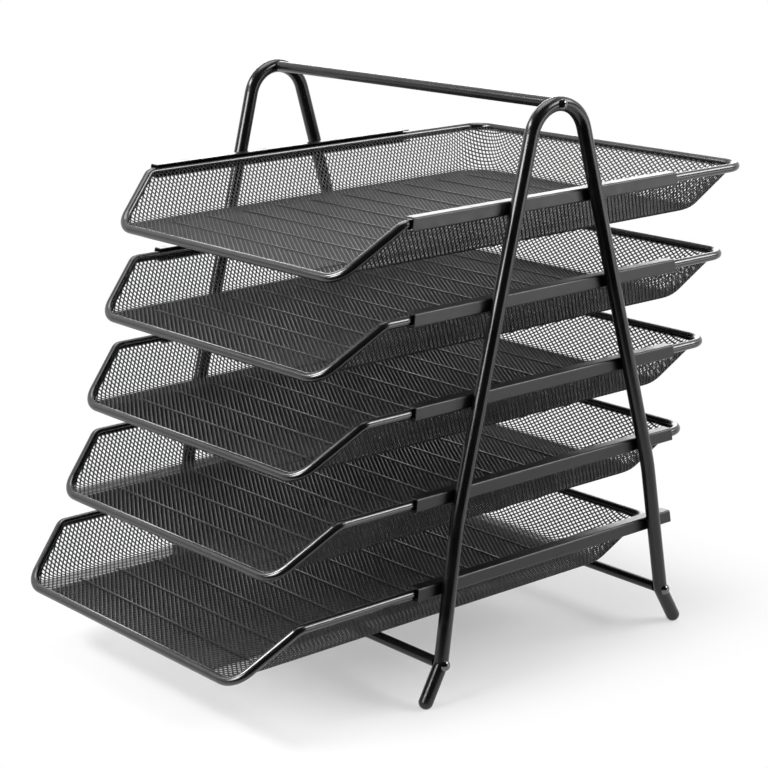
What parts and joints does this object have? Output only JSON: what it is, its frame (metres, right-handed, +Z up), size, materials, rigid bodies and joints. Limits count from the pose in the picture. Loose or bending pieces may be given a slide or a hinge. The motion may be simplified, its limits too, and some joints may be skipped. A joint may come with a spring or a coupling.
{
  "type": "drawer organizer",
  "caption": "Free-standing desk organizer: arched tube side frames joined by bars carry channel rails, in which wire-rimmed mesh trays slide forward like drawers.",
  "frame": {"origin": "on the desk plane, under the middle of the organizer's box with the trays as they rest", "axes": "+X to the right as seen from the front, +Y to the rear, +Z up; the trays pull out towards -Y"},
  "size_m": [0.3074, 0.4414, 0.3805],
  "materials": {
    "tube_paint": "gloss",
    "rail_paint": "satin",
    "rim_paint": "satin",
    "mesh_paint": "satin",
    "screw_finish": "gloss",
    "cap_plastic": "gloss"
  },
  "bodies": {
    "frame": {"left_side_frame": "tube_paint", "right_side_frame": "tube_paint", "handle_bar": "tube_paint", "front_cross_bar": "tube_paint", "rear_cross_bar": "tube_paint", "handle_screws": "screw_finish", "cross_bar_screws": "screw_finish", "front_left_foot_cap": "cap_plastic", "front_right_foot_cap": "cap_plastic", "rear_left_foot_cap": "cap_plastic", "rear_right_foot_cap": "cap_plastic", "left_rail_1": "rail_paint", "left_rail_2": "rail_paint", "left_rail_3": "rail_paint", "left_rail_4": "rail_paint", "left_rail_5": "rail_paint", "right_rail_1": "rail_paint", "right_rail_2": "rail_paint", "right_rail_3": "rail_paint", "right_rail_4": "rail_paint", "right_rail_5": "rail_paint"},
    "tray_1": {"tray_1_rim": "rim_paint", "tray_1_basket": "mesh_paint"},
    "tray_2": {"tray_2_rim": "rim_paint", "tray_2_basket": "mesh_paint"},
    "tray_3": {"tray_3_rim": "rim_paint", "tray_3_basket": "mesh_paint"},
    "tray_4": {"tray_4_rim": "rim_paint", "tray_4_basket": "mesh_paint"},
    "tray_5": {"tray_5_rim": "rim_paint", "tray_5_basket": "mesh_paint"}
  },
  "joints": [
    {"name": "tray_1_slide", "type": "slide", "parent": "frame", "child": "tray_1", "axis": [0, -1, 0], "range_m": [0, 0.18]},
    {"name": "tray_2_slide", "type": "slide", "parent": "frame", "child": "tray_2", "axis": [0, -1, 0], "range_m": [-0.0164, 0.1636]},
    {"name": "tray_3_slide", "type": "slide", "parent": "frame", "child": "tray_3", "axis": [0, -1, 0], "range_m": [-0.0341, 0.1459]},
    {"name": "tray_4_slide", "type": "slide", "parent": "frame", "child": "tray_4", "axis": [0, -1, 0], "range_m": [-0.0549, 0.1251]},
    {"name": "tray_5_slide", "type": "slide", "parent": "frame", "child": "tray_5", "axis": [0, -1, 0], "range_m": [-0.087, 0.093]}
  ]
}
